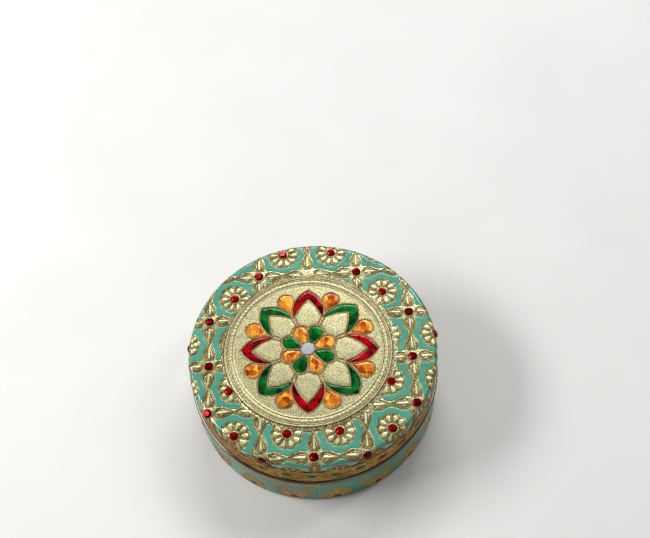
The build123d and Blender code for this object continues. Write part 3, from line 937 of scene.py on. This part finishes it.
# %% [markdown]
# The tile is set on every cell of the lattice, trimmed under the medallion and at the rim,
# and bent over the edge. The enamel is a second tile of the same outline. A tree gives it
# its thickness: it is full in the middle, steep at its border, and it ends in round tongues
# before the medallion, where the maker stopped pouring. Noise makes that edge a hand's work.

# %% Lid sheet and its enamel
def lattice_spots(offset, reach):
    """Places of the lattice, from a cell's middle or a crossing, out to a reach."""
    steps = np.arange(-4, 5) * lattice + offset
    places = [lattice_middle + (x, y) for x in steps for y in steps]
    return [p for p in places if np.hypot(*p) < reach]


tile_spots = [(x, y, 0) for x, y in lattice_spots(half_cell, fold_reach + half_cell * 1.42)]
by_hand = {"Covered": (plate_radius - 1.5) * mm, "Wander": 1.1 * mm, "Pleats": 0.5 * mm}
sheet_fold = {**by_hand, "Fade": 0.4 * mm, "Tuck": 0.25 * mm}
pour_fold = {**by_hand, "Fade": 0.9 * mm, "Tuck": 0.1 * mm, "Reach": (fold_reach - 0.9) * mm}
pour_sizes = {"Clear": (plate_radius + 1.5) * mm, "Depth": 0.34 * mm, "Round": 1.6 * mm, "Waver": 0.9 * mm}

pour_points, pour_faces = grid(span, span, pour_pitch)
inset = cell_parts(pour_points)[5]
pour_tile = make_mesh("cell_pour", pour_points, 0 * inset, pour_faces, keep=inset > -0.75, inset=inset * mm)
for name, tile, finish, steps, nodes, slot in (
        ("lid_foil", tile_mesh, gilt_sheet, [(folding, sheet_fold)], ["lid_sheet"], "gilt_sheet"),
        ("lid_foil_wires", wire_tile, gilt_line, [(folding, sheet_fold)], [], "gilt_sheet"),
        ("lid_teal", pour_tile, teal, [(pouring, pour_sizes), (folding, pour_fold)], ["lid_enamel"],
         "teal_enamel")):
    place(name, set_out(name, finish, tile, tile_spots, *steps, weld=0.03), "lid", nodes)

# %% [markdown]
# A stone is a low gem: a round girdle, a ring of facets and a flat table. Its corner points
# are wrapped in a convex hull, which makes the facets by itself. Each stone is set on its
# crossing or rosette, square to the sheet there, and a little crooked, as glued stones are.

# %% Stones
stone_steps = ((0.0, 0.90, 16, 0.0), (0.42, 1.0, 16, 0.0), (0.86, 0.83, 8, 22.5), (1.28, 0.52, 8, 0.0))


def gem(name, radius, rise=1.0):
    """Faceted stone: rings of (height, share of the radius, points, turn) under one hull."""
    hull = bmesh.new()
    for z, share, count, turn in stone_steps:
        for x, y in polar(share * radius, np.radians(turn + 360 / count * np.arange(count))):
            hull.verts.new(Vector((x, y, z * rise)) * mm)
    bmesh.ops.convex_hull(hull, input=hull.verts)
    bmesh.ops.recalc_face_normals(hull, faces=hull.faces)
    mesh = bpy.data.meshes.new(name)
    hull.to_mesh(mesh)
    hull.free()
    return mesh


def lid_spot(x, y, lift):
    """Place and turn on the bent sheet for a point of the flat pattern."""
    reach = math.hypot(x, y)
    tilt = min(max((reach - flat_radius) / fold_bend, 0), math.pi / 2)
    radius = min(reach, flat_radius) + (fold_bend + lift) * math.sin(tilt)
    drop = fold_bend * (1 - math.cos(tilt)) + max(reach - flat_radius - fold_bend * math.pi / 2, 0)
    spot = (x / reach * radius, y / reach * radius, sheet_z - drop + lift * math.cos(tilt))
    return spot, (0, math.degrees(tilt), math.degrees(math.atan2(y, x)))


def stone_places(offset, nearest, radius):
    """Lattice places for stones: clear of the medallion and whole on the fold."""
    farthest = fold_reach - radius - 1.5
    return [p for p in lattice_spots(offset, farthest) if np.hypot(*(p - plate_middle)) > nearest]


def pushed_out(spot, radius):
    """Place of a stone, moved outwards where the medallion is in its way."""
    away = spot - plate_middle
    return plate_middle + away * max((plate_radius + radius + 0.05) / np.hypot(*away), 1)


flower_radius, cross_radius, glue = 2.2, 2.35, 0.02
flower_places = [pushed_out(spot, flower_radius)
                 for spot in stone_places(half_cell, plate_radius - flower_radius, flower_radius)]
cross_places = stone_places(0, plate_radius + cross_radius, cross_radius)
for name, places, radius, finish in (("flower_stones", flower_places, flower_radius, red_glass),
                                     ("cross_stones", cross_places, cross_radius, dark_glass)):
    spots = [lid_spot(x, y, glue) for x, y in places]
    gems = set_out(name, finish, gem(name + "_gem", radius), spots, unevenness=0.07, seed=7, smooth=False)
    place(name + "_set", gems, "lid", [name])
print("stones:", len(flower_places), "and", len(cross_places))

# %% [markdown]
# The medallion is a separate round plate. One eighth of it is drawn as a wedge: half a
# petal on each side of a heart. Pockets are sunk where the enamel lies, and the ground
# between is grained by a fine punch. Round its edge runs a border of four ridges, and the
# broadest one is twisted like a cord. Eight wedges are set round the middle and welded.

# %% Medallion drawing
hearts_start, hearts_end, wire_room = 3.9, 13.7, 0.45
petal_tip_r, chevron_tip_r = 29.0, 34.1
half_turn = 22.5
half_sine = math.sin(math.radians(half_turn))
heart_centre = (hearts_end + wire_room) / (1 + half_sine)
heart_end = heart_centre * half_sine - wire_room
tip_centre = hearts_start + 0.6
foot_r = chevron_tip_r - 15.8
foot_y = foot_r * math.tan(math.radians(half_turn)) - 0.25
drop_end, drop_reach = 4.0, 6.4
line_step, over_x = 0.5, (1, -1)


def heart_line(grow=0.0):
    """Inner drop, its tip at the middle disc."""
    return moved(drop_line(0.9 + grow, heart_end + grow, heart_centre - tip_centre), x=tip_centre)


def chevron_line(grow=0.0):
    """Pointed band that hugs the tip of a petal."""
    outer = bow((foot_r - grow, foot_y + grow), (chevron_tip_r + grow * 1.6, 0), 3.2)
    inner = bow((petal_tip_r - grow * 1.6, 0), (foot_r - grow, foot_y - 0.3 - grow), -0.8)
    line = np.vstack([outer, mirrored(outer, over_x)[1:], mirrored(inner, over_x), inner[1:]])
    return even(line, line_step)


def outer_drop_line(grow=0.0):
    """Outer drop between two chevrons."""
    tip = chevron_tip_r - drop_end - drop_reach
    return moved(drop_line(0.45 + grow, drop_end + grow, drop_reach), x=tip)


def petal_line(inset):
    """Outline of half a petal and its mirror: tip, foot, corner, and round the hearts."""
    side = bow((petal_tip_r - inset * 1.6, 0), (foot_r, foot_y - 0.3 - inset), -0.8)
    corner = np.array([13.9, 5.55 - inset * 1.1])
    centre = polar(heart_centre, math.radians(half_turn))
    base = centre + polar(heart_end + wire_room + inset, np.radians(np.linspace(26, -42, 10)))
    half_line = np.vstack([side, [corner], base[base[:, 1] > 0.05]])
    return even(np.vstack([half_line, mirrored(half_line, over_x)]), line_step)


# %% Medallion ground
twists, band_start, band_middle, band_end = 120, 38.2, 39.2, 40.2
ridges = ((37.6, 0.14, 0.35), (band_middle, 0.14, 0.85), (40.65, 0.08, 0.25), (41.65, 0.16, 0.40))
border_grooves = (38.1, 40.25, 41.05, 42.3)
wedge_r = np.concatenate([np.linspace(2.6, 36.6, 88), np.arange(36.8, plate_radius, 0.2),
                          plate_radius + np.array([0, 0.12, 0.15])])
r, angle, wedge_faces = fan(wedge_r, np.radians(np.linspace(-half_turn, half_turn, 85)), closed=False)
wedge_points = polar(r, angle)
petal_view = moved(polar(r, np.abs(angle)), turn=-half_turn) * over_x
pocket = np.minimum.reduce([distance(wedge_points, heart_line()), distance(wedge_points, outer_drop_line()),
                            distance(petal_view, chevron_line())])
petal_gap = distance(petal_view, petal_line(0.45))
near_wire = np.minimum(np.abs(pocket - 0.26), np.abs(petal_gap))
near_edge = np.minimum.reduce([np.abs(r - groove) for groove in border_grooves])
in_band = step_up(r, band_start, band_start + 0.5) * (1 - step_up(r, band_end - 0.5, band_end))
border = sum(rise * hump(r, middle, width) for middle, rise, width in ridges)
border += 0.05 * in_band * np.cos(twists * angle + 2.6 * np.abs(r - band_middle))
wedge_height = 0.20 - 0.24 * (1 - step_up(pocket, -0.1, 0.2)) + 0.07 * step_up(-petal_gap, 0.2, 2.5)
wedge_height -= 0.75 * step_up(r, plate_radius - 0.25, plate_radius + 0.15)
wedge_height += border - 0.08 * hump(near_edge, 0, 0.2)
# Painted shade and dirt: beside the wires and along the border grooves.
wedge_groove = np.maximum(0.9 * hump(near_wire, 0.30, 0.17), 0.75 * hump(near_edge, 0, 0.19))
wedge = make_mesh("wedge", wedge_points, wedge_height, wedge_faces, groove=wedge_groove)


def round_plate(name, finish, piece, count=8, start=half_turn, weld=0.0):
    """Set a piece round the medallion's middle and draw it out by hand."""
    turns = [plate_turn + start + 360 / count * k for k in range(count)]
    spots = [((*plate_middle, plate_z), (0, 0, turn)) for turn in turns]
    return set_out(name, finish, piece, spots, (pulling, {}), weld=weld)


ground = round_plate("medallion_ground", gilt_ground, wedge, weld=0.02)
place("medallion_ground", ground, "lid", ["medallion_plate"])

# %% [markdown]
# Round every cell runs a raised wire, and each petal has a second, finer line inside it.
# The lines are drawn for one eighth and turned into wire, then set eight times round.

# %% Medallion wires
wire_lift, wire_thick, fine_thick, wire_grow = 0.22, 0.19, 0.14, 0.26
chevron = moved(chevron_line(wire_grow), turn=half_turn)
cell_outlines = (heart_line(wire_grow), outer_drop_line(wire_grow), chevron)
wire_lines = [(line, wire_lift, wire_thick, True) for line in cell_outlines]
wire_lines.append((moved(petal_line(0.45), turn=half_turn), wire_lift, fine_thick, True))
eighth = wired("eighth", wire_lines, 7, gilt_wire)
place("medallion_wires", round_plate("medallion_wires", gilt_wire, eighth), "lid", [])

# %% [markdown]
# Outside the plate the sheet is beaten down to meet it, and the pattern drowns in rough
# gold. This apron is a ring whose height falls outwards. It carries one more raised line,
# and layered waves make its rough face and its ragged outer edge, which dips into the sheet.

# %% Apron round the medallion
r, angle, apron_faces = fan(np.arange(plate_radius - 0.35, plate_radius + 4.4, 0.24),
                            np.linspace(0, 2 * math.pi, 1080, endpoint=False), closed=True)
dice = np.random.default_rng(11)


def ripples(counts, per_mm, weight):
    """Sum of waves round the ring and across it, with chance phases."""
    total = np.zeros(len(r))
    for count in counts:
        total += np.sin(count * angle + per_mm * dice.uniform(-1, 1) * r + dice.uniform(0, 2 * math.pi))
    return total * weight / math.sqrt(len(counts))


past_plate = r - plate_radius
ragged_edge = 1.7 + 0.7 * np.cos(angle) + ripples((5, 9, 14, 23, 37), 0.3, 0.45)
past_edge = past_plate - ragged_edge
rough = ripples((61, 83, 107, 139, 173, 211), 4.5, 0.075) + ripples((233, 271, 307, 349), 6.0, 0.05)
apron_height = sheet_z + 0.22 + 0.42 * (1 - step_up(past_plate, -0.3, 1.6))
apron_height += 0.14 * hump(past_plate, 0.55, 0.38) + rough - 0.9 * np.maximum(past_edge, 0)
apron_lines = np.minimum(np.abs(past_plate - 0.02), np.abs(past_edge))
# Painted shade and dirt: along the raised line, at the ragged edge and in the low spots of the rough face.
apron_groove = np.clip(0.8 * hump(apron_lines, 0, 0.28) + np.clip(-rough * 6, 0, 0.7), 0, 1)
apron_mesh = make_mesh("medallion_apron", plate_middle + polar(r, angle), apron_height, apron_faces,
                       keep=past_edge < 0.6, groove=apron_groove)
place("medallion_apron", closed_up(apron_mesh, gilt_apron), "lid", [])

# %% [markdown]
# Each pocket is filled with enamel. `poured` lays a net over an outline, keeps what lies in
# it and domes it, so the surface meets the wire low and stands full in the middle.

# %% Medallion enamel
pour_base, pour_rise = 0.06, 0.26


def poured(name, line, pitch=0.28, shoulder=0.7, margin=0.3):
    """Domed enamel inside an outline, darker towards its rim."""
    low, high = line.min(axis=0) - margin - pitch, line.max(axis=0) + margin + pitch
    points, faces = grid((low[0], high[0]), (low[1], high[1]), pitch)
    gap = distance(points, line)
    inside = np.maximum(-gap, 0)
    ripple = 0.03 * np.sin(points[:, 0] * 2.3 + 1.0) * np.sin(points[:, 1] * 2.9 + points[:, 0])
    dome = (pour_rise + ripple) * (1 - np.exp(-inside / shoulder))
    heights = pour_base + dome - 0.6 * np.maximum(gap, 0)
    return make_mesh(name, points, heights, faces, keep=gap < margin, groove=hump(inside, 0, 0.32))


for node, line, start, count, finish, slot in (
        ("heart_enamel_green", heart_line(), 67.5, 4, green_foil, "green_enamel"),
        ("heart_enamel_orange", heart_line(), 22.5, 4, orange_foil, "orange_enamel"),
        ("petal_enamel_red", chevron_line(), 0, 4, red_foil, "red_enamel"),
        ("petal_enamel_green", chevron_line(), 45, 4, dark_green_foil, "green_enamel"),
        ("drop_enamel_orange", outer_drop_line(), 22.5, 8, orange_foil, "orange_enamel")):
    name = node + "_fill"
    filled = round_plate(name, finish, poured(node + "_pour", line), count, start)
    place(name, filled, "lid", [node])

disc_radius, disc_top = 3.3, 0.78
disc = rounded([(0, disc_top), (disc_radius, disc_top), (disc_radius, 0.0)], [0.28], 5)
disc_mesh = turned("pale_disc", [(0, disc_top + 0.02)] + disc[1:], pale_glass, 64, closed=False)
disc_mesh.transform(Matrix.Translation(Vector((*plate_middle, plate_z)) * mm))
place("pale_disc", disc_mesh, "lid", ["centre_stone"])

# %% [markdown]
# Round the lid's side runs a narrow strip, laid on with its ends meeting at the back. It is
# modelled flat, as it was made, and rolled round by the `wrap` tree. Its long lines come
# from rolling, and an almond seat is raised for each coloured dot.

# %% Rim strip and its dots
dots, dot_length, dot_width, first_dot = 32, 5.4, 3.1, -0.25
half_joint = 0.15
rim_roll = (wrapping, {"Radius": rim_base * mm})
around_rim = 2 * math.pi * rim_base
dot_pitch = around_rim / dots
rim_middle_z = (rim_bottom_z + rim_top_z) / 2
circle = polar(1.0, np.linspace(0, 2 * math.pi, 62, endpoint=False))
almond = even(circle * (dot_length / 2 + 0.4, dot_width / 2 + 0.3), 0.3)
half_strip = around_rim / 2 - half_joint
strip_points, strip_faces = grid((-half_strip, half_strip), (rim_bottom_z, rim_top_z), 0.34)
x, z = strip_points.T
local_x = (x - first_dot * dot_pitch + dot_pitch / 2) % dot_pitch - dot_pitch / 2
seat_gap = distance(np.column_stack([local_x, z - rim_middle_z]), almond)

dice = np.random.default_rng(4)
streaks, waves = np.zeros(len(strip_points)), 24
for _ in range(waves):
    across = 2 * math.pi / dice.uniform(0.8, 1.9)
    along = 2 * math.pi * round(around_rim / dice.uniform(5, 24)) / around_rim * dice.choice([-1, 1])
    streaks += np.sin(strip_points @ (along, across) + dice.uniform(0, 2 * math.pi)) / math.sqrt(waves / 2)
streaks = np.clip(streaks, -1, 1)
edge_lines = hump(np.minimum(z - rim_bottom_z, rim_top_z - z), 0.6, 0.3)
strip_height = 0.10 + 0.14 * streaks * step_up(seat_gap, 0.6, 1.2)
strip_height += 0.20 * edge_lines + 0.10 * hump(seat_gap, 0.45, 0.3)
strip_groove = np.clip(-1.5 * streaks - 0.45, 0, 1) * step_up(seat_gap, 0.3, 0.7)
strip_mesh = make_mesh("rim_foil", strip_points, strip_height, strip_faces, groove=strip_groove)
place("rim_foil", shape(strip_mesh, shaded_gilt_rim, rim_roll), "lid", ["rim_strip"])

rim_colours = ["green", "red", "orange", "green", "red", "green", "red", "orange"]
dot_piece = poured("dot", almond, pitch=0.24, shoulder=0.5, margin=0.15)
for colour, finish in dot_foils.items():
    chosen = [k for k in range(dots) if rim_colours[(k + 1) // 4 % 8] == colour]
    spots = [((k + first_dot) * dot_pitch, rim_middle_z, 0) for k in chosen]
    name = f"rim_dots_{colour}"
    filled = set_out(name, finish, dot_piece, spots, rim_roll)
    place(name, filled, "lid", [f"rim_enamel_{colour}"])

# %% [markdown]
# The container's side has a broad strip of the same foil, with half rosettes and pairs of
# leaves standing on its lower edge. Its ends meet at the front in a plain butt joint, and
# it was cut a little skew, so its upper border is broad left of the joint and thin right.

# %% Side strip
motifs, first_motif = 18, 0.4
side_roll = (wrapping, {"Radius": side_base * mm})
around_side = 2 * math.pi * side_base
motif_pitch = around_side / motifs
side_height = side_top_z - side_bottom_z


def two_leaf_line():
    """Two broad leaves that part upwards from a stem."""
    foot, tip, fork = (5.0, 0.0), (8.6, 12.8), (0.0, 6.4)
    right = np.vstack([bow((0.0, 0.0), foot, 0, 5)[1:], bow(foot, tip, -1.2)[1:], bow(tip, fork, -1.2)[1:]])
    return even(np.vstack([right, mirrored(right, (-1, 1))[1:]]), 0.4)


def dome_line():
    """Half rosette of five lobes, its middle one a little pointed."""
    angles = np.linspace(0, math.pi, 90)
    lobes = np.abs(np.sin(angles * 2.5)) ** 0.6
    x = (6.6 + 1.6 * lobes) * np.cos(angles)
    y = (10.0 + 1.8 * lobes + 0.5 * hump(angles, math.pi / 2, 0.14)) * np.sin(angles)
    return even(np.column_stack([x, y]), 0.4)


foil_points, foil_faces = grid((half_joint, around_side - half_joint), (0, side_height), 0.40)
x, y = foil_points.T
in_pair = (x - first_motif * motif_pitch + motif_pitch / 2) % (2 * motif_pitch)
on_dome = in_pair < motif_pitch
motif_x = in_pair % motif_pitch - motif_pitch / 2
motif_points = np.column_stack([motif_x, y])
gap = np.where(on_dome, distance(motif_points, dome_line()), distance(motif_points, two_leaf_line()))
border_y = side_height - 0.6 - 2.4 * (x / around_side) ** 2
border = step_up(y, border_y - 0.15, border_y + 0.15)
veins = np.cos(np.arctan2(motif_x, y + 1.5) * np.where(on_dome, 15.0, 18.0))
raised = 1 - step_up(gap, -0.3, 0.15)
foil_height = 0.28 * np.maximum(raised, border) + raised * (0.045 * veins - 0.10 * hump(gap, -0.9, 0.25))
foil_groove = np.maximum(0.55 * hump(gap, -0.9, 0.3), 0.4 * np.clip(-veins, 0, 1) ** 4 * raised)
at_border = step_up(y, border_y - 0.3, border_y + 0.5)
paint_height = 0.19 - 0.34 * (1 - step_up(gap, -0.45, 0.35) + at_border)
on_box = foil_points + (0, side_bottom_z)
foil_mesh = make_mesh("side_foil", on_box, foil_height, foil_faces, groove=foil_groove)
poured_on = (gap > -0.8) & (y < border_y + 0.8)
paint_mesh = make_mesh("side_teal", on_box, paint_height, foil_faces, keep=poured_on)
place("side_foil", shape(foil_mesh, shaded_gilt_side, side_roll), "container", ["side_strip"])
place("side_teal", shape(paint_mesh, teal_side, side_roll), "container", ["side_enamel"])

gem_z, gem_lift = side_bottom_z + 2.2, 0.22
spots = [((k + first_motif) * motif_pitch, gem_z, gem_lift) for k in range(motifs)]
low_gem = gem("side_gem", 1.8, 0.26)
side_gems = set_out("side_gems", side_glass, low_gem, spots, side_roll, seed=9, smooth=False)
place("side_gems", side_gems, "container", ["side_stones"])
